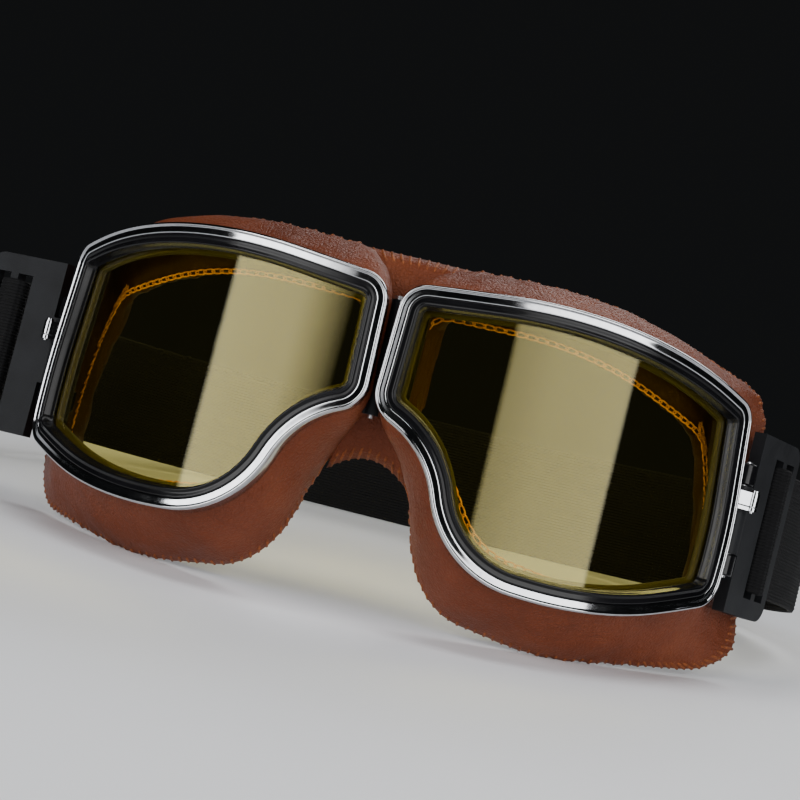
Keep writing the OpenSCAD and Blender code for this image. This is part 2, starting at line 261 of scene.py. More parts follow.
def multiply(nt, a, b, factor):
    """Colour a darkened by colour b."""
    mix = nt.nodes.new("ShaderNodeMix")
    mix.data_type, mix.blend_type = "RGBA", "MULTIPLY"
    mix.inputs["Factor"].default_value = factor
    nt.links.new(a, mix.inputs[6])
    nt.links.new(b, mix.inputs[7])
    return mix.outputs[2]


def bump(nt, height, strength, distance, normal=None):
    b = nt.nodes.new("ShaderNodeBump")
    b.inputs["Strength"].default_value = strength
    b.inputs["Distance"].default_value = distance
    nt.links.new(height, b.inputs["Height"])
    if normal is not None:
        nt.links.new(normal, b.inputs["Normal"])
    return b.outputs["Normal"]


def grey(v):
    return (v, v, v, 1)


def mat_chrome():
    m, nt, p = material("chrome_plate")
    p.inputs["Metallic"].default_value = 1
    n = texture(nt, "ShaderNodeTexNoise", 900, 4)
    nt.links.new(ramp(nt, n.outputs["Fac"], [(0.3, (0.42, 0.43, 0.45)), (0.75, (0.52, 0.525, 0.54))]),
                 p.inputs["Base Color"])
    w = texture(nt, "ShaderNodeTexNoise", 260, 6, 0.7)
    nt.links.new(ramp(nt, w.outputs["Fac"], [(0.35, grey(0.05)), (0.7, grey(0.13))]), p.inputs["Roughness"])
    s = texture(nt, "ShaderNodeTexNoise", 160, 3)
    nt.links.new(bump(nt, s.outputs["Fac"], 0.05, 0.0002), p.inputs["Normal"])
    return m


def mat_black_gloss():
    m, nt, p = material("black_gloss")
    n = texture(nt, "ShaderNodeTexNoise", 60, 5)
    nt.links.new(ramp(nt, n.outputs["Fac"], [(0.3, (0.003, 0.003, 0.0035)), (0.8, (0.007, 0.007, 0.008))]),
                 p.inputs["Base Color"])
    w = texture(nt, "ShaderNodeTexNoise", 340, 5, 0.65)
    nt.links.new(ramp(nt, w.outputs["Fac"], [(0.35, grey(0.12)), (0.75, grey(0.2))]), p.inputs["Roughness"])
    p.inputs["Specular IOR Level"].default_value = 0.2
    d = texture(nt, "ShaderNodeTexNoise", 420, 2)
    nt.links.new(bump(nt, d.outputs["Fac"], 0.08, 0.00008), p.inputs["Normal"])
    return m


def mat_black_matte():
    m, nt, p = material("bracket_nylon")
    n = texture(nt, "ShaderNodeTexNoise", 120, 6, 0.6)
    nt.links.new(ramp(nt, n.outputs["Fac"], [(0.3, (0.0075, 0.008, 0.009)), (0.75, (0.015, 0.016, 0.018))]),
                 p.inputs["Base Color"])
    nt.links.new(ramp(nt, n.outputs["Fac"], [(0.3, grey(0.42)), (0.8, grey(0.62))]), p.inputs["Roughness"])
    p.inputs["Specular IOR Level"].default_value = 0.16
    g = texture(nt, "ShaderNodeTexNoise", 2600, 3, 0.6)
    nt.links.new(bump(nt, g.outputs["Fac"], 0.35, 0.00012), p.inputs["Normal"])
    return m


def mat_steel():
    m, nt, p = material("pin_steel")
    p.inputs["Metallic"].default_value = 1
    n = texture(nt, "ShaderNodeTexNoise", 700, 5)
    nt.links.new(ramp(nt, n.outputs["Fac"], [(0.3, (0.42, 0.42, 0.43)), (0.75, (0.6, 0.6, 0.62))]),
                 p.inputs["Base Color"])
    nt.links.new(ramp(nt, n.outputs["Fac"], [(0.3, grey(0.22)), (0.8, grey(0.4))]), p.inputs["Roughness"])
    return m


def mat_rubber():
    m, nt, p = material("seal_rubber")
    n = texture(nt, "ShaderNodeTexNoise", 200, 4)
    nt.links.new(ramp(nt, n.outputs["Fac"], [(0.3, (0.012, 0.012, 0.012)), (0.8, (0.022, 0.022, 0.021))]),
                 p.inputs["Base Color"])
    nt.links.new(ramp(nt, n.outputs["Fac"], [(0.3, grey(0.6)), (0.8, grey(0.78))]), p.inputs["Roughness"])
    nt.links.new(bump(nt, n.outputs["Fac"], 0.2, 0.0001), p.inputs["Normal"])
    return m


def mat_leather(name, dark, mid, light, rough=(0.38, 0.55), grain=1.0):
    """Smooth pebbled hide: cells of grain, fine pores, slow colour drift and soft creases."""
    m, nt, p = material(name)
    drift = texture(nt, "ShaderNodeTexNoise", 38, 5, 0.6)
    col = ramp(nt, drift.outputs["Fac"], [(0.28, dark), (0.52, mid), (0.78, light)])
    cells = texture(nt, "ShaderNodeTexVoronoi", 950, feature="DISTANCE_TO_EDGE")
    edge = ramp(nt, cells.outputs["Distance"], [(0.0, grey(0.72)), (0.12, grey(1))])
    nt.links.new(multiply(nt, col, edge, 0.5), p.inputs["Base Color"])
    fine = texture(nt, "ShaderNodeTexNoise", 900, 6, 0.65)
    nt.links.new(ramp(nt, fine.outputs["Fac"], [(0.3, grey(rough[0])), (0.75, grey(rough[1]))]),
                 p.inputs["Roughness"])
    crease = texture(nt, "ShaderNodeTexNoise", 150, 6, 0.7, Distortion=1.2)
    pebble = ramp(nt, cells.outputs["Distance"], [(0.0, grey(0)), (0.2, grey(1))])
    n1 = bump(nt, pebble, 0.75 * grain, 0.00022)
    n2 = bump(nt, crease.outputs["Fac"], 0.8 * grain, 0.0009, n1)
    n3 = bump(nt, fine.outputs["Fac"], 0.3 * grain, 0.00015, n2)
    nt.links.new(n3, p.inputs["Normal"])
    p.inputs["Specular IOR Level"].default_value = 0.2
    return m


def mat_thread(name, dark, light):
    m, nt, p = material(name)
    n = texture(nt, "ShaderNodeTexNoise", 1400, 4)
    nt.links.new(ramp(nt, n.outputs["Fac"], [(0.3, dark), (0.72, light)]), p.inputs["Base Color"])
    nt.links.new(ramp(nt, n.outputs["Fac"], [(0.3, grey(0.45)), (0.8, grey(0.7))]), p.inputs["Roughness"])
    w = texture(nt, "ShaderNodeTexWave", 2200, bands_direction="DIAGONAL")
    nt.links.new(bump(nt, w.outputs["Fac"], 0.5, 0.00012), p.inputs["Normal"])
    p.inputs["Specular IOR Level"].default_value = 0.25
    return m


def mat_lens():
    """Clear yellow polycarbonate. Rays from lamps pass it, so that the mask behind is lit."""
    m, nt, p = material("amber_lens")
    out = nt.nodes["Material Output"]
    p.inputs["Transmission Weight"].default_value = 1
    p.inputs["IOR"].default_value = 1.5
    dust = texture(nt, "ShaderNodeTexNoise", 30, 4)
    nt.links.new(ramp(nt, dust.outputs["Fac"], [(0.3, (0.80, 0.70, 0.2)), (0.8, (0.84, 0.74, 0.24))]),
                 p.inputs["Base Color"])
    nt.links.new(ramp(nt, dust.outputs["Fac"], [(0.3, grey(0.0)), (0.9, grey(0.03))]), p.inputs["Roughness"])
    p.inputs["Specular Tint"].default_value = (1.0, 0.92, 0.55, 1)
    lp = nt.nodes.new("ShaderNodeLightPath")
    tr = nt.nodes.new("ShaderNodeBsdfTransparent")
    tr.inputs["Color"].default_value = (0.82, 0.74, 0.3, 1)
    mix = nt.nodes.new("ShaderNodeMixShader")
    nt.links.new(lp.outputs["Is Shadow Ray"], mix.inputs[0])
    nt.links.new(p.outputs[0], mix.inputs[1])
    nt.links.new(tr.outputs[0], mix.inputs[2])
    nt.links.new(mix.outputs[0], out.inputs["Surface"])
    return m


def mat_elastic():
    """Woven elastic: ribs along the strap from its uv, fine cross threads, and noise in its colour and
    roughness.
    """
    m, nt, p = material("black_elastic")
    uv = nt.nodes.new("ShaderNodeUVMap")
    uv.uv_map = "band"
    mp = nt.nodes.new("ShaderNodeMapping")
    nt.links.new(uv.outputs[0], mp.inputs[0])
    ribs, knit = (texture(nt, "ShaderNodeTexWave", scale, vector=mp.outputs[0], bands_direction=way,
                          wave_profile="SIN") for scale, way in ((420, "Y"), (260, "X")))
    knit.inputs["Distortion"].default_value = 0.4
    n = texture(nt, "ShaderNodeTexNoise", 90, 5, 0.6)
    col = ramp(nt, n.outputs["Fac"], [(0.3, (0.0022, 0.0022, 0.0026)), (0.75, (0.006, 0.006, 0.0068))])
    between = ramp(nt, ribs.outputs["Fac"], [(0.1, grey(0.45)), (0.8, grey(1))])
    nt.links.new(multiply(nt, col, between, 0.6), p.inputs["Base Color"])
    p.inputs["Specular IOR Level"].default_value = 0.18
    nt.links.new(ramp(nt, n.outputs["Fac"], [(0.3, grey(0.7)), (0.8, grey(0.88))]), p.inputs["Roughness"])
    n1 = bump(nt, ribs.outputs["Fac"], 0.6, 0.0004)
    n2 = bump(nt, knit.outputs["Fac"], 0.5, 0.0002, n1)
    nt.links.new(n2, p.inputs["Normal"])
    return m


CHROME = mat_chrome()
GLOSS = mat_black_gloss()
MATTE = mat_black_matte()
STEEL = mat_steel()
RUBBER = mat_rubber()
LEATHER = mat_leather("brown_leather", (0.10, 0.021, 0.007), (0.15, 0.034, 0.0115), (0.21, 0.054, 0.019))
PAD = mat_leather("pad_leather", (0.024, 0.010, 0.005), (0.036, 0.015, 0.007), (0.052, 0.022, 0.011),
                  rough=(0.5, 0.7), grain=0.4)
EDGE = mat_thread("overlock_thread", (0.10, 0.022, 0.007), (0.34, 0.10, 0.028))
GOLD = mat_thread("chain_thread", (0.50, 0.21, 0.025), (0.90, 0.46, 0.08))
LENS = mat_lens()
ELASTIC = mat_elastic()


# ---------------------------------------------------------------- rims, frames, lenses, seals
# cross-sections as (distance inwards from the rim's outline, depth behind its front)
RIM_PROFILE = [(0.0, 5.0), (0.0, 3.6), (0.0, 1.8), (0.0, 1.1), (0.03, 0.72), (0.1, 0.42), (0.22, 0.2),
               (0.36, 0.06), (0.52, 0.0), (0.68, 0.04), (0.8, 0.15), (0.88, 0.3), (0.96, 0.38), (1.1, 0.4),
               (1.5, 0.4), (1.95, 0.4), (2.25, 0.4), (2.4, 0.42), (2.5, 0.46), (2.56, 0.55), (2.6, 0.7),
               (2.6, 0.95), (1.9, 0.95), (1.25, 0.95), (1.2, 1.4), (1.2, 3.2), (1.2, 5.0), (0.6, 5.06)]
SEAL_PROFILE = [(3.8, 5.03), (6.0, 5.03), (6.3, 5.1), (6.45, 5.3), (6.45, 5.85), (6.3, 6.1), (6.0, 6.23),
                (4.6, 6.25), (3.8, 6.23)]
FRAME_PROFILE = [(1.26, 1.0), (1.9, 0.97), (2.64, 0.96), (2.66, 0.7), (2.72, 0.52), (2.86, 0.44), (3.1, 0.46),
                 (3.5, 0.55), (3.85, 0.6), (4.05, 0.56), (4.2, 0.44), (4.35, 0.3), (4.55, 0.25), (4.74, 0.32),
                 (4.86, 0.5), (4.94, 0.8), (5.05, 1.4), (5.2, 2.1), (5.34, 2.5), (5.46, 2.66), (5.52, 2.8),
                 (5.52, 3.1), (5.44, 3.2), (4.4, 3.2), (3.75, 3.2), (3.7, 3.5), (3.7, 6.0), (3.7, 7.9),
                 (3.55, 8.0), (1.4, 8.0), (1.26, 7.9), (1.26, 4.0)]
FRAME_FOOT = 6.5  # profile points deeper than this are the frame's back edge


def ring_from(name, profile, mat, left):
    """A profile carried round the rim's outline."""
    loops = []
    for off, d in profile:
        o = outline(RIM, off)
        # the frame is less deep beside the nose
        back = 1.6 * np.clip((70 - o[:, 0]) / 40, 0, 1) if d > FRAME_FOOT else 0
        loops.append(on_curve(o, d - back))
    return fix_normals(sweep(name, loops, mat, left))


def lugs(name, left):
    """The two ears on the temple side of the frame that hold the bracket pin."""
    verts, faces = [], []

    def prism(outline2, z0, z1):
        b, n = len(verts), len(outline2)
        verts.extend([(*PIVOT + p, z) for z in (z0, z1) for p in np.asarray(outline2, float)])
        faces.extend([(b + i, b + (i + 1) % n, b + n + (i + 1) % n, b + n + i) for i in range(n)])
        faces.extend([tuple(b + i for i in range(n))[::-1], tuple(b + n + i for i in range(n))])

    a = math.radians(205)
    x, y = np.array([math.cos(a), math.sin(a)]), np.array([-math.sin(a), math.cos(a)])
    round_eye = [2.4 * (math.cos(w) * x + math.sin(w) * y) for w in np.radians(np.linspace(30, 330, 33))]
    shape = [8.4 * x - 1.2 * y, 8.4 * x + 1.2 * y] + round_eye
    for z0 in (BRACKET_Z + 8.1, BRACKET_Z - 13.1):
        prism(shape, z0, z0 + 5)
    o = fix_normals(make(name, mirrored(np.array(verts), left), faces, GLOSS, sharp=35))
    round_edges(o, 0.35, 2)
    return o


def lens_body(name, left):
    """Curved pane: front and back grown from the middle to the edge, which is eased a little."""
    c, ease = np.array([50.0, -3.0]), 0.12
    front, back = [], []
    edge = outline(RIM, RIM_T + FRAME_W - 1.1)
    fr = np.concatenate([np.linspace(0.04, 0.96, 20), [0.99, 1.0]])
    for k in fr:
        front.append(on_curve(c + (edge - c) * k, LENS_D + (ease if k == 1 else 0)))
    for k in fr[::-1]:
        back.append(on_curve(c + (edge - c) * k, LENS_D + LENS_T - (ease if k == 1 else 0)))
    loops = front + back
    verts = mirrored(np.concatenate(loops), left)
    return fix_normals(make(name, verts, tube_faces(len(loops), len(edge)), LENS, sharp=40))


for side in ("left", "right"):
    left = side == "left"
    half = side + "_half"
    rim = ring_from(f"rim_wire_{side}", RIM_PROFILE, CHROME, left)
    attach(rim, half)
    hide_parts(f"rim_{side}")
    bezel = ring_from(f"bezel_{side}", FRAME_PROFILE, GLOSS, left)
    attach(bezel, half)
    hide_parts(f"frame_{side}")
    ears = lugs(f"bezel_lugs_{side}", left)
    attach(ears, half)
    seal = ring_from(f"seal_ring_{side}", SEAL_PROFILE, RUBBER, left)
    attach(seal, half)
    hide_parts(f"lens_seal_{side}")
    lens = lens_body(f"lens_pane_{side}", left)
    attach(lens, half)
    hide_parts(f"lens_{side}")

# ---------------------------------------------------------------- mask, pads and their sewing
# the sewn line round the eye opening, as corners like those of the rim
STITCH = [(4, 21.5, 7), (50, 22.5, 150), (92, 12, 14), (107, -6, 60), (104, -24, 9), (62, -29.5, 100),
          (33, -26.5, 22), (17, -7, -20), (4.5, -0.5, 6)]


def stitch_loop(off=0.0, more=0.0):
    """Loop along the sewn line, moved inwards by off and backwards by more."""
    o = outline(STITCH, off)
    return on_curve(o, 17 - 4 * (np.maximum(o[:, 0], 0) / 105) ** 2 + more)


def wave(p, scale, seed=0.0, octaves=3):
    """Smooth noise in -1..1 at design points."""
    q = np.asarray(p, float)
    at = q.reshape(-1, 3) * scale + (seed, 0, 0)
    return np.array([noise.fractal(Vector(v), 1.0, 2.0, octaves) for v in at]).reshape(q.shape[:-1])


def normals_of(grid):
    """Unit normals of a grid of points (rows, cols, 3), cols wrapping round."""
    du = np.roll(grid, -1, 1) - np.roll(grid, 1, 1)
    dv = np.gradient(grid, axis=0)
    n = np.cross(du, dv)
    return n / np.maximum(np.linalg.norm(n, axis=-1, keepdims=True), 1e-9)


def leather_half(name, left):
    """Outer skin from under the rim to the face edge, a turned edge, and the inside back to the frame."""
    ts = np.concatenate([np.linspace(0, 0.9, 22), [0.94, 0.97, 0.99, 1.0]])
    outer = []
    for t in ts:
        swell = 1.5 * math.sin(math.pi * min(t, 1)) ** 0.8
        outer.append(mask_loop(t, 0.55 * (1 - min(1, t * 9)) - swell))
    g = np.array(outer)
    n = normals_of(g)
    soft = np.sin(np.pi * ts)[:, None] ** 0.7
    push = 0.55 * wave(g, 0.055, 3.1, 2) * soft + 0.22 * wave(g, 0.16, 9.7, 3) * soft
    centre = np.array([45.0, 20, -3])
    out = np.sign(np.einsum("ijk,ijk->ij", n, g - centre))[..., None]
    g = g + n * out * push[..., None]
    # the sewing gathers the hide into small puckers near the edge
    run = np.concatenate([[0], np.cumsum(np.linalg.norm(np.diff(g[-1], axis=0), axis=1))])
    gather = np.sin(run * 1.15 + 2.2 * np.sin(run * 0.11)) * (0.55 + 0.45 * np.sin(run * 0.07 + 1))
    g += n * out * (0.26 * gather[None, :] * np.clip((ts - 0.62) / 0.33, 0, 1)[:, None])[..., None]
    turned = [mask_loop(1.0, 0.5, 0.7), mask_loop(1.0, 1.3, 0.6)]
    # lines that the overlock threads cross, a little under the hide, with their slant there
    sink = (n * out) * 0.12
    rows = [(g[20] - 4 * sink[20], 0.9), (g[21] - sink[21], 0.5), (g[22] - sink[22], 0.25),
            (g[25] - sink[25], 0.0), (turned[0] - (0, 0.1, 0), -0.1), (turned[1] - (0, 0.4, 0), -0.4)]
    inner = [mask_loop(t, 1.7, 0.0) for t in (0.97, 0.8, 0.6, 0.4, 0.2, 0.06)]
    inner.append(mask_loop(0.0, 1.6, 0.15))
    o = fix_normals(sweep(name, list(g) + turned + inner, LEATHER, left))
    # painted shade: the inside takes the darker pad leather, so that it stays dark though lamp light passes
    # the lens onto it
    o.data.materials.append(PAD)
    shaded_inside_from = (len(g) + 2) * len(g[0])
    o.data.polygons.foreach_set("material_index", [int(i >= shaded_inside_from) for i in range(len(o.data.polygons))])
    return o, rows


def pad_half(name, left):
    """Foam ring with its leather face: sewn line at the eye opening, full roll on the face side."""
    face = mask_loop(1.0, 1.75, -0.2)
    keys = [stitch_loop(0.0, 0.0),
            0.55 * stitch_loop(-1.2, -0.6) + 0.45 * mask_loop(0.42, 1.9, -0.6),
            mask_loop(0.36, 1.9, 0.0), mask_loop(0.68, 1.9, 0.0), face,
            0.72 * mask_loop(1.0, 3.4, 3.0) + 0.28 * stitch_loop(0, 3.0),
            0.4 * mask_loop(1.0, 4.0, 4.6) + 0.6 * stitch_loop(-0.6, 5.0),
            stitch_loop(-0.1, 2.4)]
    k = np.array(keys)
    m = len(k)
    loops = []
    # a smooth closed curve through the key loops, five steps between each two
    for a in range(m):
        p0, p1, p2, p3 = k[a - 1], k[a], k[(a + 1) % m], k[(a + 2) % m]
        for t in (0, 0.2, 0.4, 0.6, 0.8):
            loops.append(0.5 * (2 * p1 + (p2 - p0) * t + (2 * p0 - 5 * p1 + 4 * p2 - p3) * t * t
                                + (3 * p1 - p0 - 3 * p2 + p3) * t ** 3))
    g = np.array(loops)
    n = normals_of(g)
    mid = g.mean(0)
    out = np.sign(np.einsum("ijk,ijk->ij", n, g - mid))[..., None]
    g = g + n * out * (0.3 * wave(g, 0.13, 21.0, 3))[..., None]
    return fix_normals(sweep(name, list(g), PAD, left))


SIM_FRAMES = 20


def puff(o, sewn, voxel=2.2, pressure=4.0, slack=0.06, cap=2.6, reach=1.7):
    """Blow a padded piece up as cloth: it is held where it is sewn, and its spare cloth creases between.

    voxel, cap and reach are millimetres: cloth size, furthest move, and how near a sewn point still holds.
    """
    deps = bpy.context.evaluated_depsgraph_get
    m = o.modifiers.new("remesh", "REMESH")
    m.mode, m.voxel_size = "VOXEL", voxel * MM
    me = bpy.data.meshes.new_from_object(o.evaluated_get(deps()))
    o.modifiers.clear()
    o.data = me
    tree = kdtree.KDTree(len(sewn))
    for i, p in enumerate(sewn):
        tree.insert(p, i)
    tree.balance()
    rest = np.array([v.co for v in me.vertices])
    far = np.array([tree.find(v.co)[2] for v in me.vertices]) / MM
    group = o.vertex_groups.new(name="sewn")
    for i, d in enumerate(far):
        group.add([i], float(np.clip(reach + 1.0 - d, 0, 1)), "REPLACE")
    cloth = o.modifiers.new("cloth", "CLOTH")
    st = cloth.settings
    st.quality, st.mass, st.vertex_group_mass = 6, 0.1, "sewn"
    st.use_pressure, st.uniform_pressure_force = True, pressure
    st.effector_weights.gravity = 0
    st.shrink_min = -slack
    st.bending_stiffness = 0.05
    scene = bpy.context.scene
    for f in range(1, SIM_FRAMES + 1):
        scene.frame_set(f)
    blown = o.evaluated_get(deps()).to_mesh()
    now = np.array([v.co for v in blown.vertices])
    o.modifiers.clear()
    move = now - rest
    far = np.linalg.norm(move, axis=1, keepdims=True)
    move *= np.minimum(1, cap * MM / np.maximum(far, 1e-9))
    # even the moves out between neighbours, twice
    ends = np.array([e.vertices for e in me.edges])
    count = np.bincount(ends.ravel(), minlength=len(move))[:, None]
    for _ in range(2):
        near = np.zeros_like(move)
        np.add.at(near, ends[:, 0], move[ends[:, 1]])
        np.add.at(near, ends[:, 1], move[ends[:, 0]])
        move = 0.5 * move + 0.5 * near / np.maximum(count, 1)
    me.vertices.foreach_set("co", (rest + move).astype(np.float32).ravel())
    o.vertex_groups.clear()
    scene.frame_set(1)
    sub = o.modifiers.new("sub", "SUBSURF")
    sub.levels = sub.render_levels = 1
    smooth = bpy.data.meshes.new_from_object(o.evaluated_get(deps()))
    o.modifiers.clear()
    o.data = smooth
    smooth.polygons.foreach_set("use_smooth", [True] * len(smooth.polygons))
    return o


def path_frames(p, closed=True):
    """A line of design points, closed if asked, and the distance along it of each point."""
    q = np.vstack([p, p[:1]]) if closed else p
    d = np.concatenate([[0], np.cumsum(np.linalg.norm(np.diff(q, axis=0), axis=1))])
    return q, d


def along(p, at):
    """Points at the given distances along a closed line."""
    q, d = path_frames(p)
    return np.stack([np.interp(at, d, q[:, i]) for i in range(3)], 1)


def tubes(name, lines, radius, mat, sides=6, left=False):
    """One mesh of many short round threads, each a list of design points."""
    verts, faces = [], []
    for line in lines:
        line = np.asarray(line, float)
        t = np.gradient(line, axis=0)
        t /= np.maximum(np.linalg.norm(t, axis=1, keepdims=True), 1e-9)
        ref = np.array([0, 0, 1.0]) if abs(t[0, 2]) < 0.8 else np.array([1.0, 0, 0])
        base = len(verts)
        m = len(line)
        for i in range(m):
            a = np.cross(t[i], ref)
            a /= max(np.linalg.norm(a), 1e-9)
            b = np.cross(t[i], a)
            r = radius * (0.55 if i in (0, m - 1) else 1.0)
            for k in range(sides):
                w = 2 * math.pi * k / sides
                verts.append(line[i] + r * (math.cos(w) * a + math.sin(w) * b))
        for i in range(m - 1):
            for k in range(sides):
                k2 = (k + 1) % sides
                faces.append((base + i * sides + k, base + i * sides + k2,
                              base + (i + 1) * sides + k2, base + (i + 1) * sides + k))
        faces.append(tuple(base + k for k in range(sides))[::-1])
        faces.append(tuple(base + (m - 1) * sides + k for k in range(sides)))
    return fix_normals(make(name, mirrored(np.array(verts), left), faces, mat))


def overlock(name, rows, left, pitch=2.2, keep=None):
    """Threads over an edge. rows are lines of points across it, each with how far the thread slants there."""
    edge = max(range(len(rows)), key=lambda i: rows[i][1] == 0)
    d = path_frames(rows[edge][0], False)[1]
    step = d[-1] / (len(d) - 1)
    lines = []
    for k in range(int(d[-1] / pitch)):
        a = (k + 0.5) * pitch
        jit = 0.2 * math.sin(k * 12.9898) + 0.15 * math.sin(k * 4.1)
        at = np.interp(a, d, np.arange(len(d)))
        line = []
        for row, slant in rows:
            i = min(max(at + (slant * (1 + jit)) / step, 0), len(d) - 1.001)
            line.append(row[int(i)] + (row[int(i) + 1] - row[int(i)]) * (i - int(i)))
        if keep is None or keep(line[edge]):
            lines.append(line)
    return tubes(name, lines, 0.4, EDGE, 8, left)


def chain(name, loop, up, left, pitch=2.4):
    """Chain stitch: overlapping rounded links along loop; up is the way out of the leather there."""
    d = path_frames(loop)[1]
    count = int(round(d[-1] / pitch))
    step = d[-1] / count
    lines = []
    for k in range(count):
        a = k * step
        ts = np.linspace(0, 2 * math.pi, 11)[:-1]
        la = 0.64 * step * np.cos(ts)
        wi = 0.52 * np.sin(ts) * (1 - 0.25 * np.cos(ts))
        at = (a + la) % d[-1]
        c = along(loop, at)
        t = along(loop, (at + 0.6) % d[-1]) - along(loop, (at - 0.6) % d[-1])
        t /= np.linalg.norm(t, axis=1, keepdims=True)
        f = (a / d[-1]) * len(up)
        u = up[int(f) % len(up)]
        w = np.cross(t, u)
        w /= np.linalg.norm(w, axis=1, keepdims=True)
        pts = c + w * wi[:, None] + u * (0.3 + 0.16 * np.cos(ts))[:, None]
        lines.append(np.vstack([pts, pts[:1]]))
    return tubes(name, lines, 0.2, GOLD, 5, left)


def outer_edge(e):
    """False on the nose side, where the mask goes on over the nose."""
    return not (e[0] < 9.5 and -13 < e[2] < 33 or e[0] < 14 and e[2] > 10)


for side in ("left", "right"):
    left = side == "left"
    half = side + "_half"
    SPREAD[0] = 0.0 if left else 6.0
    skin, rows = leather_half(f"mask_leather_{side}", left)
    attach(skin, half)
    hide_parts(f"mask_{side}")
    SPREAD[0] *= 0.5
    pad = pad_half(f"pad_roll_{side}", left)
    held = [stitch_loop(0.0, 0.0), mask_loop(0.36, 1.9), mask_loop(0.68, 1.9), mask_loop(1.0, 1.75, -0.2)]
    puff(pad, to_row(mirrored(np.concatenate(held), left)))
    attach(pad, half)
    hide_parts(f"pad_{side}")
    sew = overlock(f"edge_stitching_{side}", rows, left, keep=outer_edge)
    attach(sew, half)
    loop = stitch_loop(-0.3, -0.45)
    up = stitch_loop(0.1, -2.4) - loop
    up /= np.linalg.norm(up, axis=1, keepdims=True)
    gold = chain(f"eye_stitching_{side}", loop, up, left)
    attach(gold, half)


def nose_leather(name, mat, push, thick, z_top, z_arch, y_edge, y_mid, flat=0.6, reach=0.0, corner=7.5):
    """Saddle over the nose between the halves, front skin and back skin joined round the edge."""
    us, vs = np.linspace(-1, 1, 25), np.linspace(0, 1, 33)

    def point(u, v, back):
        y = y_edge - (y_edge - y_mid) * math.sin(math.pi * min(max(v, 0), 1)) ** flat
        wide = min(1.0, max(0.0, (v - 0.8) / 0.2))
        half = 1.6 + (y + 1) * 0.36 + 1.0 + reach + corner * wide * wide * (3 - 2 * wide)
        x = u * half
        z_lo = z_arch - 0.05 * x * x
        z = z_lo + (z_top - z_lo) * v
        y = y + push * (u * u) + back * thick
        z = z + back * (0.5 if v < 0.5 else -0.5) * thick * abs(2 * v - 1) ** 6
        return (x, y, z)

    rows = [[point(u, v, 0) for u in us] for v in vs] + [[point(u, v, 1) for u in us] for v in vs[::-1]]
    g = np.array(rows)
    g[..., 1] += 0.25 * wave(g, 0.12, 2.2, 2)
    r, c = g.shape[:2]
    faces = []
    for a in range(r):
        b = (a + 1) % r
        for i in range(c - 1):
            faces.append((a * c + i, a * c + i + 1, b * c + i + 1, b * c + i))
    h = len(vs)
    for col in (0, c - 1):
        for a in range(h - 1):
            faces.append((a * c + col, (a + 1) * c + col, (r - 2 - a) * c + col, (r - 1 - a) * c + col))
    return fix_normals(make(name, g.reshape(-1, 3), faces, mat)), g


bridge, grid = nose_leather("mask_bridge_leather", LEATHER, push=0.8, thick=1.4, z_top=34.3, z_arch=-12.5,
                            y_edge=17.4, y_mid=9.0)
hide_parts("mask_bridge")
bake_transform(bridge)
roll, roll_grid = nose_leather("pad_bridge_roll", PAD, push=0.6, thick=4.5, z_top=28.0, z_arch=-11.0,
                               y_edge=18.5, y_mid=13.0, flat=0.8, reach=1.0, corner=0)
puff(roll, to_row(np.concatenate([roll_grid[:, 0], roll_grid[:, -1]])), voxel=1.8, cap=2.0, reach=1.0)
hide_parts("pad_bridge")
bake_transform(roll)
# the grid's front rows go up from the arch to the top, and its back rows come down again
LAST = len(grid) - 1
for tag, row, way in (("top", LAST // 2, -1), ("arch", 0, 1)):
    down = np.array([0, 0, 0.15 * way])
    rows = [(grid[row + 2 * way] + (0, 0.4, 0), 0.9), (grid[row + way] + (0, 0.1, 0), 0.45),
            (grid[row] + (0, 0.3, 0) + down, 0.0), (grid[LAST - row] + down, -0.2),
            (grid[LAST - row - way] - (0, 0.3, 0), -0.5)]
    sew = overlock(f"edge_stitching_{tag}", rows, False)
    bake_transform(sew)


# ---------------------------------------------------------------- strap
def bez(p, n):
    """n points on a cubic curve with the four control points p."""
    t = np.linspace(0, 1, n)[:, None]
    p = [np.asarray(v, float) for v in p]
    return (1 - t) ** 3 * p[0] + 3 * t * (1 - t) ** 2 * p[1] + 3 * t * t * (1 - t) * p[2] + t ** 3 * p[3]


def turned_axes(a):
    """Along a bracket turned by a degrees, and square to it."""
    r = math.radians(a)
    return np.array([math.cos(r), math.sin(r)]), np.array([-math.sin(r), math.cos(r)])


def tail(a, more):
    """Where the strap leaves a bracket turned by a degrees, and more millimetres beyond."""
    x, y = turned_axes(a)
    return PIVOT + (BRACKET_L + 2 + more) * x + (1.9 + STRAP_T / 2) * y


def flip(p):
    """The same place on the left."""
    return np.array([-p[0], p[1]])


# the straight stretch of the strap that the adjuster slides on
A, B = np.array([-121.0, 92.0]), np.array([-103.0, 137.0])
ALONG = unit(B - A)


def resample(p, step):
    """Points at an equal pitch near step along a line, and their distances."""
    d = np.concatenate([[0], np.cumsum(np.linalg.norm(np.diff(p, axis=0), axis=1))])
    n = max(4, int(round(d[-1] / step)) + 1)
    at = np.linspace(0, d[-1], n)
    return np.stack([np.interp(at, d, p[:, i]) for i in range(2)], 1), at


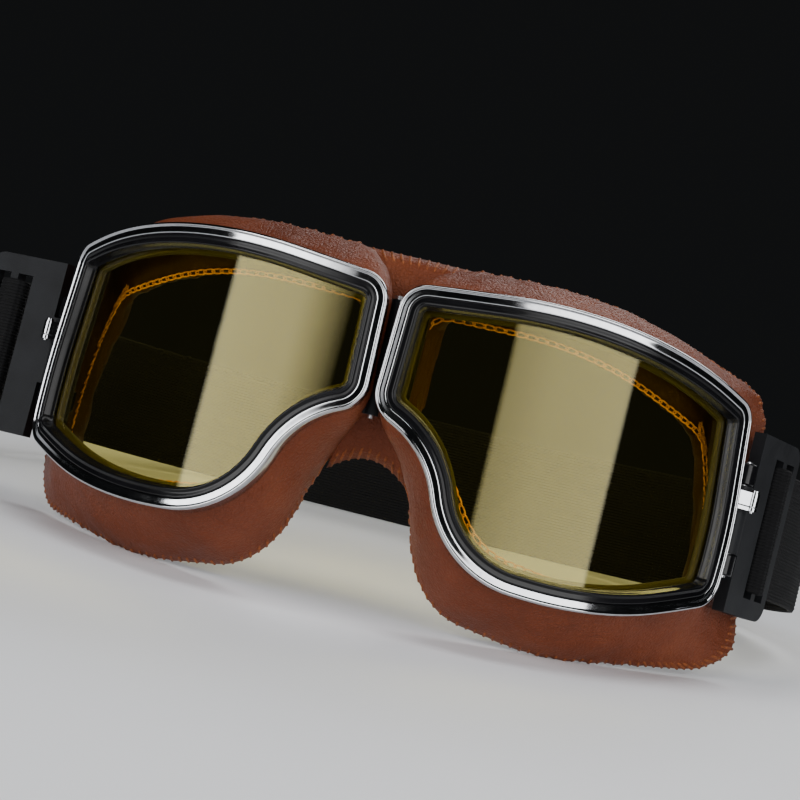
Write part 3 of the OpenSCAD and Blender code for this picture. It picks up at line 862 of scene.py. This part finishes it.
def strap(name, plan, step=1.6):
    """Elastic band on edge along a plan line, ribbed lengthwise, with soft selvedges; its uv is in metres."""
    p, at = resample(np.asarray(plan, float), step)
    t = np.gradient(p, axis=0)
    t /= np.linalg.norm(t, axis=1, keepdims=True)
    side = np.stack([-t[:, 1], t[:, 0]], 1)
    h, half = STRAP_W / 2, STRAP_T / 2
    zs = np.linspace(-h + 0.5, h - 0.5, 59)
    rib = 0.09 * np.cos(2 * math.pi * (zs + h) / 1.0)
    selvedge = [(half * 0.75, h - 0.12), (0, h), (-half * 0.75, h - 0.12)]
    prof = [(half + r, z) for r, z in zip(rib, zs)] + selvedge
    prof += [(-half - r, z) for r, z in zip(rib[::-1], zs[::-1])] + [(-x, -z) for x, z in selvedge]
    prof = np.array(prof)
    n, m = len(p), len(prof)
    verts = np.zeros((n, m, 3))
    verts[..., 0] = p[:, None, 0] + side[:, None, 0] * prof[None, :, 0]
    verts[..., 1] = p[:, None, 1] + side[:, None, 1] * prof[None, :, 0]
    verts[..., 2] = prof[None, :, 1] + BRACKET_Z
    o = fix_normals(make(name, verts.reshape(-1, 3), tube_faces(n, m), ELASTIC))
    uv = o.data.uv_layers.new(name="band")
    vi = np.zeros(len(o.data.loops), int)
    o.data.loops.foreach_get("vertex_index", vi)
    co = np.stack([at[np.minimum(vi // m, n - 1)] * MM, prof[vi % m, 1] * MM], 1)
    uv.data.foreach_set("uv", co.astype(np.float32).ravel())
    return o


rear = bez([B, B + 38 * ALONG, (-50, LOOP_Y), (0, LOOP_Y)], 80)
SPLIT = 8  # point on the rear curve where the bending part of the loop begins
back = strap("strap_back_band", np.vstack([[A, (A + B) / 2], rear[:SPLIT + 1]]))
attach(back, "left_half")
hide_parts("strap_back")
# the rest of the loop goes slack as the halves fold; it is one band between them over its whole length, tied
# to neither half
right_rear = bez([(0, LOOP_Y), (52, LOOP_Y), (98, 150), (98, 108)], 90)
side_band = strap("strap_side_band", np.vstack([rear[SPLIT:-1], right_rear]))
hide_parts("strap_side")
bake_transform(side_band)
front_r = strap("strap_front_right_band",
                bez([(98, 108.1), (98, 94), tail(RIGHT_DEG, 12), tail(RIGHT_DEG, -0.5)], 50))
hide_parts("strap_front_right")
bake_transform(front_r)
front_l = strap("strap_front_left_band", bez([flip(tail(LEFT_DEG, -0.5)), flip(tail(LEFT_DEG, 14)),
                                             A - 22 * ALONG, A - 0.1 * ALONG], 60))
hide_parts("strap_front_left")
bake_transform(front_l)


def strap_fold(name, a, left):
    """The sewn end: round the middle bar and back out beneath the outer bar, as one band."""
    bar, bend = 17.3, 2.7
    w = np.linspace(math.radians(110), math.radians(-225), 44)
    loop = np.stack([bar + bend * np.cos(w), bend * np.sin(w)], 1)
    out = [(18.6, 2.72), (20.5, bend), (23, bend), (BRACKET_L + 2, bend)]
    plan = np.vstack([np.array(out)[::-1], loop])
    x, y = turned_axes(a)
    p = PIVOT + plan[:, :1] * x + plan[:, 1:] * y
    if left:
        p[:, 0] *= -1
    return strap(name, p, step=0.7)


for side, a in (("left", LEFT_DEG), ("right", RIGHT_DEG)):
    fold = strap_fold(f"strap_fold_{side}", a, side == "left")
    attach(fold, f"{side}_bracket")
    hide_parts(f"strap_end_{side}")


# ---------------------------------------------------------------- CAD pieces that stay
def dress(node, mat, width, segments=2):
    """Give a CAD piece its material and small rounds on its edges."""
    o = nodes[node]
    o.data.materials.clear()
    o.data.materials.append(mat)
    round_edges(o, width, segments).harden_normals = True


for side in ("left", "right"):
    dress(f"bracket_{side}", MATTE, 0.5, 3)
    dress(f"bracket_pin_{side}", STEEL, 0.15)
    dress(f"rim_clasp_{side}", CHROME, 0.2)
    dress(f"rim_screw_{side}", CHROME, 0.15)
    dress(f"hinge_leaf_{side}", MATTE, 0.15)
dress("hinge_pin", STEEL, 0.15)
dress("strap_slider", GLOSS, 0.5, 3)


# ---------------------------------------------------------------- camera, floor, lights
def camera():
    """Fitted to the outline of both rims: right, up and forward are design directions."""
    az, el, roll = math.radians(8.32), math.radians(-4.09), math.radians(14.34)
    dist, tx, tz = 702.9, -5.88, 0.5
    ca, sa, ce, se = math.cos(az), math.sin(az), math.cos(el), math.sin(el)
    cr, sr = math.cos(roll), math.sin(roll)
    right = np.array([ca * cr - sa * se * sr, sa * cr + ca * se * sr, ce * sr])
    up = np.array([-ca * sr - sa * se * cr, -sa * sr + ca * se * cr, ce * cr])
    forward = np.array([-sa * ce, ca * ce, -se])
    place = -tx * right - tz * up - dist * forward
    o0 = to_row(np.zeros(3))
    turn = [(to_row(v * 1000.0) - o0) for v in (right, up, -forward)]
    cam = bpy.data.cameras.new("camera")
    cam.lens, cam.sensor_width = 144, 36
    cam.clip_start, cam.clip_end = 0.02, 20
    ob = bpy.data.objects.new("camera", cam)
    bpy.context.scene.collection.objects.link(ob)
    m = Matrix([list(c) for c in zip(*turn)]).to_4x4()
    m.translation = Vector(to_row(place))
    ob.matrix_world = m
    bpy.context.scene.camera = ob


LIGHT_TARGET = (0, -0.07, 0.05)


def softbox(name, az, el, dist, w, h, power, across=None):
    """Area light az degrees round from -Y towards +X and el degrees up, w by h metres.

    across gives its brightness over its width, as (position, brightness).
    """
    a, e = math.radians(az), math.radians(el)
    t = Vector(LIGHT_TARGET)
    pos = t + dist * Vector((math.sin(a) * math.cos(e), -math.cos(a) * math.cos(e), math.sin(e)))
    li = bpy.data.lights.new(name, "AREA")
    li.shape, li.size, li.size_y, li.energy = "RECTANGLE", w, h, power
    ob = bpy.data.objects.new(name, li)
    bpy.context.scene.collection.objects.link(ob)
    ob.location = pos
    ob.rotation_euler = (t - pos).to_track_quat("-Z", "Y").to_euler()
    if across:
        li.use_nodes = True
        nt = li.node_tree
        geo = nt.nodes.new("ShaderNodeNewGeometry")
        xyz = nt.nodes.new("ShaderNodeSeparateXYZ")
        nt.links.new(geo.outputs["Parametric"], xyz.inputs[0])
        strength = ramp(nt, xyz.outputs[0], [(p, grey(v)) for p, v in across])
        nt.links.new(strength, nt.nodes["Emission"].inputs[1])


def studio():
    """Two soft boxes that show in the lenses as bands, a top and a back light, a dark room, a pale table."""
    softbox("key_left", -34, 14, 0.95, 0.74, 0.8, 12.5,
            [(0, 0.0), (0.04, 1), (0.6, 0.9), (1, 0.0)])
    softbox("key_right", 44, 14, 0.95, 0.72, 0.8, 10.5,
            [(0, 0.0), (0.05, 0.6), (0.4, 0.9), (0.97, 1), (1, 0.0)])
    softbox("top", -5, 78, 0.9, 0.9, 0.35, 3.6)
    softbox("back", 160, 35, 1.0, 0.8, 0.3, 4)
    world = bpy.data.worlds.new("studio")
    bpy.context.scene.world = world
    world.use_nodes = True
    world.node_tree.nodes["Background"].inputs[0].default_value = (0.0072, 0.0076, 0.008, 1)
    world.node_tree.nodes["Background"].inputs[1].default_value = 1
    me = bpy.data.meshes.new("floor")
    me.from_pydata([(-0.8, -0.75, 0), (0.8, -0.75, 0), (0.8, 0.25, 0), (-0.8, 0.25, 0)], [], [(0, 1, 2, 3)])
    o = bpy.data.objects.new("floor", me)
    bpy.context.scene.collection.objects.link(o)
    m, nt, p = material("pale_floor")
    n = texture(nt, "ShaderNodeTexNoise", 3, 3)
    nt.links.new(ramp(nt, n.outputs["Fac"], [(0.3, (0.80, 0.81, 0.84)), (0.7, (0.86, 0.87, 0.90))]),
                 p.inputs["Base Color"])
    p.inputs["Roughness"].default_value = 0.6
    me.materials.append(m)


camera()
studio()
